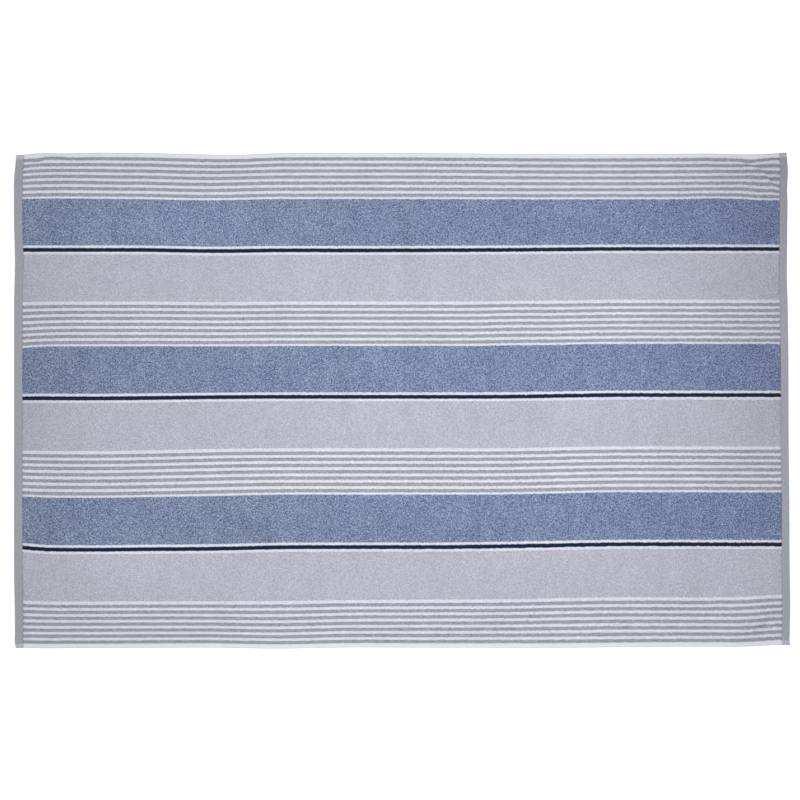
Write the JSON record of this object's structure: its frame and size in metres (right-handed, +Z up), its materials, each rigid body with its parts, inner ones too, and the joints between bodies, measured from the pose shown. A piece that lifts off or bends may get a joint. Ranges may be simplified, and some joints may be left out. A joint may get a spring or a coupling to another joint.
{
  "type": "bath sheet",
  "caption": "Striped terry bath sheet lying open and flat, with woven selvages, turned hems and soft fold creases.",
  "frame": {"origin": "middle of the cloth's outline, on the surface that it lies on", "axes": "+X along the cloth from hem to hem, +Y across it from selvage to selvage, +Z up out of the face that shows"},
  "size_m": [1.4036, 0.8988, 0.0058],
  "materials": {
    "terry_cotton": "looped cotton pile, matt"
  },
  "bodies": {
    "root": {"bath_sheet": "terry_cotton"}
  },
  "joints": []
}
